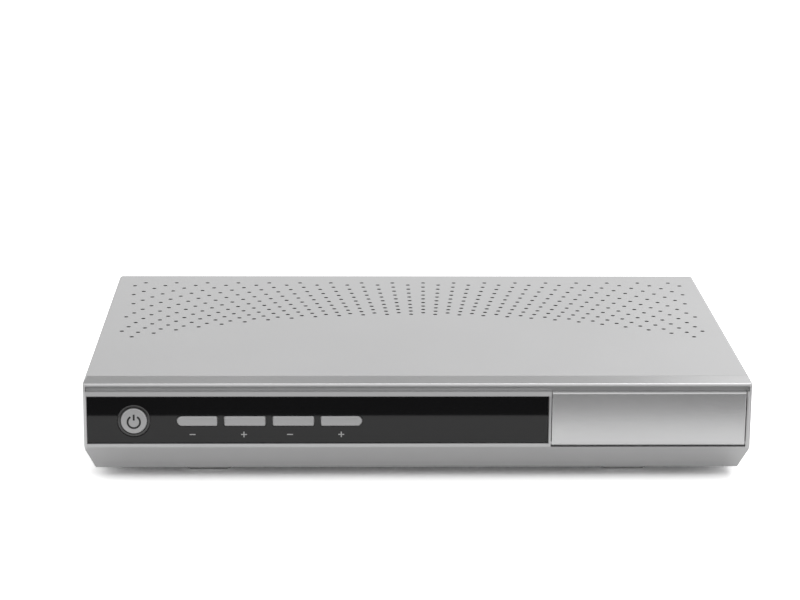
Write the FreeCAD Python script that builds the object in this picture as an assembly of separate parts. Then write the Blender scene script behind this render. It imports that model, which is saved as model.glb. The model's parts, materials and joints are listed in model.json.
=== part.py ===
import FreeCAD, Part
import math
import os

V = FreeCAD.Vector

# Driving dimensions of the housing, in millimetres.
# X runs to the right, Y from the front to the rear, Z up; Z = 0 is the table.
width = 251.5
depth = 162.5            # fascia front plane to the rear face of the cover
body_height = 35.0       # tray underside to the top of the cover
foot_height = 4.0
socket_reach = 11.0      # antenna sockets beyond the rear face

# Sheet metal and mouldings
sheet = 0.8              # steel sheet of the cover, the tray and the rear panel
bend = 1.5               # outer bend radius of the cover
seam = 0.15              # gap between fixed parts that fit into each other
play = 0.25              # gap round parts that move
wall = 1.6               # fascia wall

# Bevel round the lower edge of the housing
bevel_height = 9.5
bevel_front = 5.0
bevel_side = 3.9

# Fascia
fascia_depth = 8.1       # top band, from the front plane back to the cover
band_drop = 0.75         # fall of the top band towards the front
lip_radius = 0.9         # front edge of the top band
corner_radius = 2.0      # upright front corners
tongue = 1.2             # rim of the fascia that enters the cover and the tray
tongue_reach = 4.0
groove_top = 1.85        # below the top of the cover
groove_height = 1.95
groove_depth = 2.5
groove_end = 1.0         # closed length at each end of the groove
backing_depth = 0.5      # solid backing starts this far behind the front plane
snap_width = 8.0
snap_length = 1.6
snap_places = (-85.0, 0.0, 85.0)
snap_back = 1.2          # behind the fascia, inside the tray floor
stop_places = (-80.0, 10.0)
stop_width = 6.0         # blocks above the front board

# Window and keys, measured down from the top of the cover
window_left_border = 1.4
window_right = 49.0
window_top = 5.8
window_bottom = 24.3
window_inset = 1.2       # window face behind the front plane
window_thickness = 2.0
window_flange = 1.2
window_flare = 0.4       # small chamfer round the window opening
key_height = 3.75
key_row = 15.55
key_corner = 0.5
key_edge = 0.25          # chamfer round the key faces
key_stem = 4.0           # width of the stem behind a key
key_stem_height = 2.0
key_spans = {
    "volume_down_key": (-90.65, -75.6),
    "volume_up_key": (-72.9, -57.5),
    "channel_down_key": (-54.7, -39.3),
    "channel_up_key": (-36.6, -21.2),
}
key_proud = 0.5          # key faces in front of the window face
key_travel = 0.7
key_clear = 0.1          # stem to plunger when the key is pressed
key_flange = 0.8         # rim behind the window that keeps a key in
key_flange_thickness = 1.0
button_x = -106.8
button_row = 15.5
button_radius = 4.95
button_edge = 0.3
button_stem = 2.0
ring_width = 1.05        # light ring round the power button
ring_proud = 0.3
ring_edge = 0.35
ring_collar = 1.2        # collar behind the window, wide and thick

# Card flap and the recess behind it
divider = 1.0            # strip between window and flap
flap_right_border = 2.0
flap_thickness = 2.2
flap_skin = 1.2
flap_rim = 1.6
flap_edge = 0.35         # upright edges
flap_top_edge = 0.9
flap_bottom = 25.2
flap_sill_gap = 0.3
flap_pin_radius = 0.7
flap_pin_fit = 0.05
flap_pin_length = 0.5    # part of the pin inside its socket
flap_socket_depth = 0.6
recess_depth = 10.0
recess_wall = 1.2
recess_side = 1.6
recess_floor = 16.9      # above the table
recess_roof = 34.2
card_width = 54.0
card_slot_height = 1.5
card_slot_flare = 0.7    # wider opening in the recess wall
card_fit = 0.3           # round the card inside the reader
reader_width = 60.0
reader_length = 52.0
reader_roof = 2.6        # above the slot
reader_window = 28.0
reader_rim = 14.0        # plain length in front of the reader window
reader_end = 6.0         # closed length behind the card

# Printed boards
board = 1.6
board_lift = 6.5         # main board above the tray floor
main_board_left = -112.0
main_board_right = 118.0
main_board_front = 14.4  # behind the front plane
board_gap = 1.0          # main board to the rear panel
front_board_front = 10.5
front_board_margin = 3.3
front_board_bottom = 8.6
front_board_top = 35.8
front_boss_radius = 2.5
front_boss_height = 11.2
front_boss_places = (-112.0, -35.0, 40.0)
switch_width = 6.0
switch_depth = 3.5
plunger_radius = 1.75
plunger_reach = 5.0      # plunger tip in front of the front board
display = (4.0, 34.0, 18.0, 28.0)   # left, right, bottom, top
display_depth = 6.2
eye_x = -6.0
eye_z = 23.6
eye_width = 6.0
eye_height = 7.0
eye_lens = 2.3
lamp_places = (38.0, 43.0)
lamp_radius = 1.5
link_left = -80.0        # row of pins between the boards
link_pins = 12
link_pitch = 2.54
link_depth = 5.0
link_height = 2.5
link_pin = 0.6

# What stands on the main board: left, front, size in X, size in Y, height.
# Fronts are measured from the rear edge of the board.
decoder = (-22.0, -71.0, 27.0, 27.0, 2.2)
heatsink = (-23.5, -72.5, 29.2, 30.0, 9.0)
heatsink_fins = 8
heatsink_fin = 1.2
heatsink_base = 1.6
chips = [(16.0, -69.0, 12.0, 11.0, 1.1), (16.0, -55.0, 12.0, 11.0, 1.1),
         (-44.0, -65.0, 12.0, 18.0, 1.1)]
coils = [(60.0, -53.0, 12.0, 12.0, 7.0), (42.0, -53.0, 12.0, 12.0, 7.0)]
coil_corner = 2.0
crystal_box = (-40.0, -75.0, 11.0, 4.6, 3.6)
# Capacitors: X, Y from the rear edge of the board, radius and height
cans = [(108.0, -43.0, 5.0, 16.0), (96.0, -43.0, 5.0, 16.0), (84.0, -41.0, 4.0, 12.0),
        (-60.0, -47.0, 4.0, 12.0), (-50.0, -103.0, 3.2, 11.0), (-90.0, -81.0, 3.2, 11.0)]

# Screws, and the number of sides that small round details are drawn with
small_sides = 8
bore_sides = 12
ring_sides = 24
small_radius = 1.4       # corners below this radius are drawn with a few flats
small_flats = 3
screw_radius = 1.45
screw_fit = 0.05
screw_pass = 1.65
screw_head_radius = 2.75
screw_head_height = 1.8
standoff_radius = 3.2
standoff_sides = 6
standoff_inset = 5.0     # from the edges of the main board
standoff_middle = (-20.0, 49.0)
standoff_rear_x = -60.0
standoff_rear = 26.0
board_screw_length = 6.0
front_screw_length = 5.5
cover_screw_length = 5.0
flange_height = 7.0
shelf_depth = 8.0        # shelf on top of the rear panel, under the cover
cover_screw_drop = 3.9
cover_screw_places = (-112.0, 0.0, 112.0)
side_screw_rear = 24.0   # in front of the rear face
side_screw_rise = 4.8    # above the bevel
side_lip = 9.0           # tray lip inside the cover

# Feet: flat pads with a plug through the tray floor
foot_width = 17.6
foot_length = 14.0
foot_corner = 1.6
foot_edge = 0.5
foot_x = 79.6
foot_front = 21.0
foot_rear = 140.0
foot_plug_radius = 2.6
foot_plug_proud = 1.5    # plug above the tray floor

# Vent field: columns of holes that fan out from an arc to a straight back row
vent_radius = 1.13       # corner distance of the four-sided holes
vent_corners = 4
vent_rows = 9
vent_arc_front = 98.0    # behind the front plane, on the centre line
vent_arc_radius = 199.0
vent_arc_step = 0.05     # radians between whole columns along the arc
vent_back = 150.2
vent_back_pitch = 13.33
vent_spread = 0.03       # how much the steps grow towards the back
vent_edge = 8.0          # plain margin at each side
vent_columns = 12
floor_slot_length = 26.0
floor_slot_width = 2.4
floor_slot_pitch = 6.5
floor_slot_count = 9
floor_slot_groups = (-35.0, 35.0)

# Rear sockets; heights are above the main board
tuner_x = -90.0
tuner_width = 38.0
tuner_depth = 46.0
tuner_height = 14.0
antenna_pitch = 18.0
antenna_height = 7.5
antenna_radius = 4.76
antenna_neck = 4.6       # plain part of the barrel under the nut
antenna_bore = 0.8
antenna_bore_depth = 7.0
antenna_recess_radius = 3.5
antenna_recess = 0.6
antenna_edge = 0.5
antenna_cap = 1.0        # neck ends this far inside the barrel
tuner_lid = 4.0
tuner_lid_proud = 0.3
nut_flats = 11.1
nut_thickness = 2.4
nut_fit = 0.05
shoulder_gap = 0.3       # from a seat to the full-size part of a barrel
serial_x = -46.0
serial_height = 6.6
serial_flange_width = 30.8
serial_flange_height = 12.5
serial_flange = 1.0
serial_shell_width = 16.9
serial_shell_height = 8.3
serial_shell_slant = 1.0
serial_shell_wall = 0.6
serial_reach = 5.8
serial_body_depth = 9.0
serial_body_width = 19.0
serial_body_rise = 5.5   # above the socket axis
serial_corner = 1.8
serial_contacts = ((5, 1.42), (4, -1.42))   # how many, and how far above the axis
serial_contact_pitch = 2.77
serial_contact_depth = 5.0
serial_set_back = 0.3    # insert face inside the shell
serial_post_pitch = 25.0
serial_post_flats = 4.8
serial_post_length = 5.0
serial_post_bore = 1.3
serial_post_shank = 4.0
serial_post_floor = 1.2  # closed length behind the bore
contact = 1.0            # width of a contact opening
scart_x = 6.0
scart_width = 49.0
scart_height = 16.0
scart_depth = 17.0
scart_mouth_width = 44.6
scart_mouth_height = 11.2
scart_mouth_slant = 5.0
scart_mouth_depth = 7.0
scart_core_gap = 1.3
scart_contacts = 10
scart_contact_pitch = 3.81
scart_contact_shift = 0.5
scart_contact_centre = -1.2
scart_contact_row = 2.2  # rows above and below the axis
scart_contact_height = 2.6
scart_contact_depth = 6.0
scart_corner = 0.6
scart_rim = 0.7          # wall of the mouth
av_x = 60.0
av_pitch = 14.0
av_height = 7.0
av_block_width = 42.0
av_block_height = 13.0
av_block_depth = 12.0
av_barrel_radius = 4.15
av_barrel_neck = 3.8     # part of the barrel inside its block
av_seat_depth = 4.0
av_barrel_bore = 3.4
av_barrel_reach = 9.0
av_bore = 1.7
av_set_back = 0.4        # insert face inside the barrel
av_bore_depth = 8.0
dc_x = 99.0
dc_width = 9.0
dc_height = 11.0
dc_depth = 14.0
dc_bore = 3.2
dc_bore_depth = 9.5
dc_bore_wall = 0.1       # the bore is this much narrower than its mouth
dc_nose_wall = 0.2
dc_pin_radius = 1.05
dc_pin_length = 8.8

# Places worked out from the sizes above
half = width / 2
front = -(depth + socket_reach) / 2
rear = front + depth
bottom_z = foot_height
top_z = foot_height + body_height
crease_z = bottom_z + bevel_height
inside_top = top_z - sheet - seam
inside_half = half - sheet - seam
lip_inside = inside_half - sheet - seam
fascia_back = front + fascia_depth
panel_rear = rear - sheet - seam
panel_front = panel_rear - sheet
floor_top = bottom_z + sheet
board_bottom = floor_top + board_lift
board_top = board_bottom + board
board_rear = panel_front - board_gap
groove_z = top_z - groove_top
window_face = front + window_inset
window_back = window_face + window_thickness
window_left = -half + window_left_border
flap_left = window_right + divider + play
flap_right = half - flap_right_border - play
flap_bottom_z = top_z - flap_bottom
flap_top_z = groove_z - groove_height
flap_axis_y = front + flap_thickness / 2
flap_axis_z = flap_bottom_z + flap_thickness / 2
sill_z = flap_bottom_z - flap_sill_gap
recess_front = front + groove_depth
recess_back = recess_front + recess_depth
reader_front = recess_back + recess_wall + seam
front_board_y = front + front_board_front
socket_z = board_top + antenna_height


def box(x0, x1, y0, y1, z0, z1):
    return Part.makeBox(x1 - x0, y1 - y0, z1 - z0, V(x0, y0, z0))


def rod(radius, start, length, axis):
    return Part.makeCylinder(radius, length, start, axis)


def along_y(radius, x, y0, y1, z):
    return rod(radius, V(x, y0, z), y1 - y0, V(0, 1, 0))


def along_z(radius, x, y, z0, z1):
    return rod(radius, V(x, y, z0), z1 - z0, V(0, 0, 1))


def small_rod(radius, start, length, axis, sides=small_sides):
    """Round detail of a few millimetres, drawn with flat sides."""
    across = V(1, 0, 0) if abs(axis.z) > 0.5 else V(0, 0, 1)
    other = axis.cross(across)
    angles = [2 * math.pi * (i + 0.5) / sides for i in range(sides)]
    points = [start + across * (radius * math.cos(a)) + other * (radius * math.sin(a)) for a in angles]
    return prism(outline(points), axis * length)


def small_y(radius, x, y0, y1, z, sides=small_sides):
    return small_rod(radius, V(x, y0, z), y1 - y0, V(0, 1, 0), sides)


def small_z(radius, x, y, z0, z1, sides=small_sides):
    return small_rod(radius, V(x, y, z0), z1 - z0, V(0, 0, 1), sides)


def arc_edges(start, middle, end, flats):
    """Arc through three points, as one curve or as a few flats."""
    arc = Part.Arc(start, middle, end).toShape()
    if not flats:
        return [arc]
    stops = [start] + arc.discretize(flats + 1)[1:-1] + [end]
    return [Part.LineSegment(a, b).toShape() for a, b in zip(stops, stops[1:])]


def outline(points, radii=None, flats=None):
    """Closed wire through flat points, rounded where a corner has a radius."""
    radii = radii or [0] * len(points)
    starts, ends, edges = [], [], []
    arcs = []
    for i, (corner, radius) in enumerate(zip(points, radii)):
        to_last = (points[i - 1] - corner).normalize()
        to_next = (points[(i + 1) % len(points)] - corner).normalize()
        if radius == 0:
            starts.append(corner)
            ends.append(corner)
            arcs.append(None)
            continue
        half_angle = to_last.getAngle(to_next) / 2
        reach = radius / math.tan(half_angle)
        middle = (to_last + to_next).normalize()
        starts.append(corner + to_last * reach)
        ends.append(corner + to_next * reach)
        arcs.append(corner + middle * (radius / math.sin(half_angle) - radius))
    for i, arc_middle in enumerate(arcs):
        if arc_middle is not None:
            few = small_flats if radii[i] < small_radius else 0
            edges += arc_edges(starts[i], arc_middle, ends[i], few if flats is None else flats)
        following = starts[(i + 1) % len(points)]
        if (following - ends[i]).Length > 1e-6:
            edges.append(Part.LineSegment(ends[i], following).toShape())
    return Part.Wire(edges)


def prism(wire, sweep):
    return Part.Face(wire).extrude(sweep)


def in_xz(pairs, y):
    return [V(x, y, z) for x, z in pairs]


def in_xy(pairs, z):
    return [V(x, y, z) for x, y in pairs]


def in_yz(pairs, x):
    return [V(x, y, z) for y, z in pairs]


def rounded_bar(x0, x1, z0, z1, y0, y1, left_radius, right_radius):
    """Bar along X with its own corner radius at each end, seen from the front."""
    points = in_xz([(x0, z0), (x1, z0), (x1, z1), (x0, z1)], y0)
    radii = [left_radius, right_radius, right_radius, left_radius]
    return prism(outline(points, radii), V(0, y1 - y0, 0))


def hexagon(flats, x, y0, y1, z):
    corner = flats / math.sqrt(3)
    points = [(x + corner * math.cos(a), z + corner * math.sin(a))
              for a in (math.radians(60 * i) for i in range(6))]
    return prism(outline(in_xz(points, y0)), V(0, y1 - y0, 0))


def union(shapes):
    shapes = list(shapes)
    return shapes[0].fuse(shapes[1:]).removeSplitter()


def cut(shape, tools):
    return shape.cut(Part.makeCompound(list(tools)))


def mirror_pairs(points):
    """Right-hand outline points, bottom to top, completed on the left."""
    return points + [(-x, z) for x, z in reversed(points)]


def end_view(inset):
    """Outline of the housing seen from the front, drawn in by an inset."""
    pairs = mirror_pairs([(half - bevel_side, bottom_z), (half, crease_z), (half, top_z)])
    wire = outline(in_xz(pairs, 0))
    if inset:
        wire = wire.makeOffset2D(-inset, 2)
    corners = [vertex.Point for vertex in wire.OrderedVertexes]
    rounding = max(bend - inset, 0)
    return outline(corners, [rounding if corner.z > top_z - inset - 0.01 else 0 for corner in corners])


# Top cover: one bent sheet, top and two sides, with the vent field and a rear flange

def vent_places():
    """Centres of the vent holes and the direction of each column."""
    last = vent_rows - 0.5
    stretch = last + vent_spread * last ** 2
    for step in range(-2 * vent_columns, 2 * vent_columns + 1):
        column = step / 2
        angle = vent_arc_step * column
        start = V(vent_arc_radius * math.sin(angle),
                  vent_arc_front - vent_arc_radius * (1 - math.cos(angle)), 0)
        end = V(vent_back_pitch * column, vent_back, 0)
        for row in range(vent_rows):
            place = row + (step % 2) / 2
            share = (place + vent_spread * place ** 2) / stretch
            centre = start + (end - start) * share
            if abs(centre.x) < half - vent_edge:
                yield centre, (end - start)


def vent_hole(centre, direction):
    turn = math.atan2(direction.y, direction.x)
    angles = [turn + 2 * math.pi * i / vent_corners for i in range(vent_corners)]
    points = [(centre.x + vent_radius * math.cos(a), front + centre.y + vent_radius * math.sin(a))
              for a in angles]
    return prism(outline(in_xy(points, top_z - 2 * sheet)), V(0, 0, 3 * sheet))


def top_cover():
    edge_z = crease_z + seam
    inner = half - sheet
    pairs = [(-half, edge_z), (-half, top_z), (half, top_z), (half, edge_z),
             (inner, edge_z), (inner, top_z - sheet), (-inner, top_z - sheet), (-inner, edge_z)]
    radii = [0, bend, bend, 0, 0, bend - sheet, bend - sheet, 0]
    start = fascia_back + seam
    shell = prism(outline(in_xz(pairs, start), radii), V(0, rear - start, 0))
    pairs = [(-half, top_z - flange_height), (half, top_z - flange_height),
             (half, top_z), (-half, top_z)]
    flange = prism(outline(in_xz(pairs, rear - sheet), [0, 0, bend, bend]), V(0, sheet, 0))
    shell = union([shell, flange])
    holes = [vent_hole(centre, direction) for centre, direction in vent_places()]
    for x in cover_screw_places:
        holes.append(small_y(screw_pass, x, rear - 2 * sheet, rear + sheet, top_z - cover_screw_drop))
    for side in (-1, 1):
        holes.append(small_rod(screw_pass, V(side * (half - 2 * sheet), rear - side_screw_rear,
                                       crease_z + side_screw_rise), 3 * sheet, V(side, 0, 0)))
    return cut(shell, holes)


# Bottom tray: floor, sloped sides with inner lips, rear panel with its openings

def tray_outline(top):
    lip = inside_half
    pairs = mirror_pairs([(half - bevel_side, bottom_z), (half, crease_z), (lip, crease_z), (lip, top)])
    rounding = bend - sheet
    return outline(in_xz(pairs, 0), [0, 0, 0, rounding, rounding, 0, 0, 0])


def standoff_places():
    front_row = front + main_board_front + standoff_inset
    rear_row = board_rear - standoff_rear
    places = [(x, front_row) for x in (main_board_left + standoff_inset,) + standoff_middle]
    return places + [(x, rear_row) for x in (standoff_rear_x, main_board_right - standoff_inset)]


def av_places():
    return [av_x + av_pitch * i for i in (-1, 0, 1)]


def antenna_places():
    return [tuner_x - antenna_pitch / 2, tuner_x + antenna_pitch / 2]


def foot_places():
    return [(x, front + y) for x in (-foot_x, foot_x) for y in (foot_front, foot_rear)]


def serial_outline(y, grow):
    """D outline of the serial socket, wider at the top."""
    z = board_top + serial_height
    w = serial_shell_width / 2 + grow
    h = serial_shell_height / 2 + grow
    pairs = [(serial_x - w + serial_shell_slant, z - h), (serial_x + w - serial_shell_slant, z - h),
             (serial_x + w, z + h), (serial_x - w, z + h)]
    return outline(in_xz(pairs, y), [serial_corner + grow] * 4, small_flats)


def scart_outline(y, grow):
    """Outline of the video socket mouth, with one slanted end."""
    z = board_top + scart_height / 2
    w = scart_mouth_width / 2 + grow
    h = scart_mouth_height / 2 + grow
    pairs = [(scart_x - w, z - h), (scart_x + w - scart_mouth_slant, z - h),
             (scart_x + w, z - h + scart_mouth_slant), (scart_x + w, z + h), (scart_x - w, z + h)]
    return outline(in_xz(pairs, y), [scart_corner] * 5)


def panel_openings():
    start = panel_front - sheet
    through = 3 * sheet
    for x in antenna_places():
        yield small_y(antenna_radius + play, x, start, start + through, socket_z, bore_sides)
    yield prism(serial_outline(start, play), V(0, through, 0))
    for side in (-1, 1):
        yield small_y(screw_pass, serial_x + side * serial_post_pitch / 2, start, start + through,
                      board_top + serial_height)
    yield prism(scart_outline(start, play), V(0, through, 0))
    for x in av_places():
        yield small_y(av_barrel_radius + play, x, start, start + through, board_top + av_height,
                      bore_sides)
    yield small_y(dc_bore + play, dc_x, start, start + through, board_top + dc_height / 2, bore_sides)
    for x in cover_screw_places:
        yield small_y(screw_radius + screw_fit, x, start, start + through, top_z - cover_screw_drop)


def floor_openings():
    through = 3 * sheet
    base = bottom_z - sheet
    for x, y in foot_places():
        yield small_z(foot_plug_radius + screw_fit, x, y, base, base + through)
    middle = (floor_slot_count - 1) / 2
    for centre in floor_slot_groups:
        for i in range(floor_slot_count):
            x = centre + (i - middle) * floor_slot_pitch
            yield box(x - floor_slot_width / 2, x + floor_slot_width / 2,
                      -floor_slot_length / 2, floor_slot_length / 2, base, base + through)
    for x in snap_places:
        yield box(x - snap_width / 2 - play, x + snap_width / 2 + play,
                  fascia_back + snap_back - play, fascia_back + snap_back + snap_length + play,
                  base, base + through)


def bottom_tray():
    start = fascia_back + seam
    lip_top = crease_z + side_lip
    tray = prism(tray_outline(lip_top), V(0, panel_rear - start, 0))
    trough = prism(tray_outline(lip_top + 4 * sheet).makeOffset2D(-sheet, 2),
                   V(0, panel_front - start, 0))
    tray = tray.cut(trough)
    tray.translate(V(0, start, 0))
    # the lips stop short of the fascia's rim
    rim_end = fascia_back + tongue_reach + 2 * seam
    for side in (-1, 1):
        x = side * (half - sheet)
        tray = tray.cut(box(x - 2 * sheet, x + 2 * sheet, start - sheet, rim_end,
                            crease_z - sheet, lip_top + sheet))
    panel = prism(tray_outline(inside_top), V(0, sheet, 0))
    panel.translate(V(0, panel_front, 0))
    shelf = box(-lip_inside, lip_inside, panel_front - shelf_depth, panel_front + sheet / 2,
                inside_top - sheet, inside_top)
    posts = [small_rod(standoff_radius, V(x, y, floor_top - sheet / 2),
                       board_bottom - floor_top + sheet / 2, V(0, 0, 1), standoff_sides)
             for x, y in standoff_places()]
    tray = union([tray, panel, shelf] + posts)
    holes = list(panel_openings()) + list(floor_openings())
    for x, y in standoff_places():
        holes.append(small_z(screw_radius + screw_fit, x, y, bottom_z - sheet, board_bottom + sheet))
    for side in (-1, 1):
        holes.append(small_rod(screw_radius + screw_fit,
                         V(side * (inside_half - 2 * sheet), rear - side_screw_rear,
                           crease_z + side_screw_rise), 3 * sheet, V(side, 0, 0)))
    return cut(tray, holes)


# Fascia: one moulding with the top band, groove, window frame, bevel and card recess

def fascia_block(back, inset):
    """Solid form of the fascia, drawn in by an inset on every outer face."""
    side = [(front, crease_z), (front + bevel_front, bottom_z), (back, bottom_z), (back, top_z)]
    if back > fascia_back:
        side.append((fascia_back, top_z))
    side.append((front, top_z - band_drop))
    radii = [0] * (len(side) - 1) + [0 if inset else lip_radius]
    side_wire = outline(in_yz(side, -half), radii, 0)
    plan = [(-half, front), (half, front), (half, back), (-half, back)]
    plan_radius = 0 if inset else corner_radius
    plan_wire = outline(in_xy(plan, bottom_z), [plan_radius, plan_radius, 0, 0])
    if inset:
        side_wire = side_wire.makeOffset2D(-inset, 2)
        plan_wire = plan_wire.makeOffset2D(-inset, 2)
    block = prism(side_wire, V(width, 0, 0))
    block = block.common(prism(plan_wire, V(0, 0, body_height)))
    face = prism(end_view(inset), V(0, back - front, 0))
    face.translate(V(0, front, 0))
    return block.common(face)


def window_opening():
    """Opening with a small flare at the front plane."""
    x0, x1 = window_left, window_right
    z0, z1 = top_z - window_bottom, top_z - window_top
    straight = box(x0, x1, front - 1, front + 2 * wall, z0, z1)
    wires = []
    for y, grow in ((front, window_flare), (front + window_flare, 0)):
        pairs = [(x0 - grow, z0 - grow), (x1 + grow / 2, z0 - grow),
                 (x1 + grow / 2, z1 + grow), (x0 - grow, z1 + grow)]
        wires.append(outline(in_xz(pairs, y)))
    return union([straight, Part.makeLoft(wires, True, True)])


def card_slot(y0, y1, grow):
    x = (flap_left + flap_right) / 2
    w = card_width / 2 + grow
    z = recess_floor + card_slot_height / 2 + card_slot_flare
    h = card_slot_height / 2 + grow
    return box(x - w, x + w, y0, y1, z - h, z + h)


def front_fascia():
    deep = fascia_back + tongue_reach + recess_wall
    shell = fascia_block(fascia_back, 0).cut(fascia_block(fascia_back + 2 * wall, wall))
    rim_outer = prism(end_view(sheet + seam), V(0, tongue_reach + 2, 0))
    rim_inner = prism(end_view(sheet + seam + tongue), V(0, tongue_reach + 2, 0))
    rim = rim_outer.cut(rim_inner)
    rim.translate(V(0, fascia_back - 2, 0))
    # solid backing of the groove, of the divider and round the card recess
    start = front + backing_depth
    backing = [box(-half, half, start, recess_front + wall,
                   flap_top_z - backing_depth, groove_z + backing_depth)]
    for right_end, back_end in ((half, fascia_back), (lip_inside, recess_back + recess_wall)):
        backing.append(box(window_right, right_end, start, back_end,
                           crease_z - wall, recess_roof + recess_wall))
    backing = [piece.common(fascia_block(deep + wall, backing_depth)) for piece in backing]
    # screw bosses of the front board on the inside of the bevel
    bosses = [small_y(front_boss_radius, x, front + wall, front_board_y, front_boss_height)
              for x in front_boss_places]
    bosses = [boss.common(fascia_block(deep + wall, backing_depth)) for boss in bosses]
    stops = [box(x - stop_width / 2, x + stop_width / 2, fascia_back - wall, front_board_y,
                 front_board_top - wall, inside_top - tongue / 2) for x in stop_places]
    snaps = [box(x - snap_width / 2, x + snap_width / 2, fascia_back + snap_back,
                 fascia_back + snap_back + snap_length, bottom_z + seam, floor_top + tongue / 2)
             for x in snap_places]
    body = union([shell, rim] + backing + bosses + stops + snaps)
    groove = box(-half + groove_end, half - groove_end, front - 1, recess_front,
                 flap_top_z, groove_z)
    doorway = box(flap_left - play, flap_right + play, front - 1, recess_front, sill_z, groove_z)
    cavity = box(window_right + divider + recess_side, half - wall - 1.2, recess_front - 0.5,
                 recess_back, recess_floor, recess_roof)
    slot = card_slot(recess_back - 1, recess_back + 2 * recess_wall, card_slot_flare)
    sockets = [rod(flap_pin_radius + flap_pin_fit, V(flap_left - play, flap_axis_y, flap_axis_z),
                   flap_socket_depth, V(-1, 0, 0)),
               rod(flap_pin_radius + flap_pin_fit, V(flap_right + play, flap_axis_y, flap_axis_z),
                   flap_socket_depth, V(1, 0, 0))]
    pilots = [small_y(screw_radius + screw_fit, x, front_board_y - front_screw_length,
                      front_board_y + 1, front_boss_height) for x in front_boss_places]
    return cut(body, [groove, doorway, cavity, slot, window_opening()] + sockets + pilots)


# Window, keys and power button

def window_plate():
    x0, x1 = window_left + seam, window_right - seam
    z0, z1 = top_z - window_bottom + seam, top_z - window_top - seam
    plate = box(x0, x1, window_face, window_back, z0, z1)
    flange = box(-half + wall + seam, x1, front + wall + seam, window_back,
                 z0 - window_flange, z1 + window_flange)
    holes = [small_y(button_radius + play + ring_width + seam, button_x, window_face - 1,
                     window_back + 1, top_z - button_row, ring_sides)]
    for name in key_spans:
        holes.append(key_bar(name, window_face - 1, window_back + 1, play))
    return cut(union([plate, flange]), holes)


def key_bar(name, y0, y1, grow):
    x0, x1 = key_spans[name]
    names = list(key_spans)
    half_height = key_height / 2 + grow
    full_round = half_height - 0.01
    left_radius = full_round if name == names[0] else key_corner + grow
    right_radius = full_round if name == names[-1] else key_corner + grow
    z = top_z - key_row
    return rounded_bar(x0 - grow, x1 + grow, z - half_height, z + half_height, y0, y1,
                       left_radius, right_radius)


def front_key(name):
    face = window_face - key_proud
    flange_y = window_back + play
    cap = key_bar(name, face, flange_y, 0)
    edges = [edge for edge in cap.Edges if edge.BoundBox.YMax < face + 0.01]
    cap = cap.makeChamfer(key_edge, edges)
    x0, x1 = key_spans[name]
    x, z = (x0 + x1) / 2, top_z - key_row
    reach = key_height / 2 + key_flange
    flange = box(x0 - key_flange, x1 + key_flange, flange_y, flange_y + key_flange_thickness,
                 z - reach, z + reach)
    stem = box(x - key_stem / 2, x + key_stem / 2, flange_y, stem_end(),
               z - key_stem_height / 2, z + key_stem_height / 2)
    return union([cap, flange, stem])


def plunger_tip():
    """Front end of the switch plungers, in Y."""
    return front_board_y - plunger_reach


def stem_end():
    """Rear end of the key stems, clear of the plungers when a key is pressed."""
    return plunger_tip() - key_travel - key_clear


def power_button():
    face = window_face - key_proud
    z = top_z - button_row
    flange_y = window_back + play
    cap = along_y(button_radius, button_x, face, flange_y, z)
    edges = [edge for edge in cap.Edges if edge.BoundBox.YMax < face + 0.01]
    cap = cap.makeChamfer(button_edge, edges)
    stem = small_y(button_stem, button_x, flange_y - play, stem_end(), z)
    return union([cap, stem])


def power_light_ring():
    z = top_z - button_row
    inner = button_radius + play
    outer = inner + ring_width
    y0 = window_face - ring_proud
    y1 = front_board_y - switch_depth - play
    tube = small_y(outer, button_x, y0, y1, z, ring_sides)
    edges = [edge for edge in tube.Edges if edge.BoundBox.YMax < y0 + 0.01]
    tube = tube.makeChamfer(ring_edge, edges)
    collar_y = window_back + seam
    collar = small_y(outer + ring_collar, button_x, collar_y, collar_y + ring_collar, z, bore_sides)
    return union([tube, collar]).cut(small_y(inner, button_x, y0 - 1, y1 + 1, z, ring_sides))


# Card flap: skin with a rim, a round lower edge and two pins

def card_flap():
    back = front + flap_thickness
    profile = [(front, flap_bottom_z), (back, flap_bottom_z), (back, flap_top_z - seam),
               (front, flap_top_z - seam)]
    round_edge = flap_thickness / 2 - 0.01
    radii = [round_edge, round_edge, flap_edge, flap_top_edge]
    slab = prism(outline(in_yz(profile, flap_left), radii, 0), V(flap_right - flap_left, 0, 0))
    plan = [(flap_left, front), (flap_right, front), (flap_right, back), (flap_left, back)]
    slab = slab.common(prism(outline(in_xy(plan, bottom_z), [flap_edge, flap_edge, 0, 0]),
                             V(0, 0, body_height)))
    pocket = box(flap_left + flap_rim, flap_right - flap_rim, front + flap_skin, back + 1,
                 flap_bottom_z + flap_thickness, flap_top_z - flap_rim)
    slab = slab.cut(pocket)
    length = play + flap_pin_length
    pins = [rod(flap_pin_radius, V(flap_left + 1, flap_axis_y, flap_axis_z), length + 1, V(-1, 0, 0)),
            rod(flap_pin_radius, V(flap_right - 1, flap_axis_y, flap_axis_z), length + 1, V(1, 0, 0))]
    return union([slab] + pins)


# Feet and screws

def feet():
    group = []
    w, l, c = foot_width / 2, foot_length / 2, foot_corner
    for x, y in foot_places():
        pairs = [(x - w + c, y - l), (x + w - c, y - l), (x + w, y - l + c), (x + w, y + l - c),
                 (x + w - c, y + l), (x - w + c, y + l), (x - w, y + l - c), (x - w, y - l + c)]
        pad = prism(outline(in_xy(pairs, 0)), V(0, 0, foot_height))
        pad = pad.makeChamfer(foot_edge, [edge for edge in pad.Edges if edge.BoundBox.ZMax < 0.01])
        plug = small_z(foot_plug_radius, x, y, foot_height - foot_edge, floor_top + foot_plug_proud)
        group.append(pad.fuse(plug).removeSplitter())
    return Part.makeCompound(group)


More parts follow.
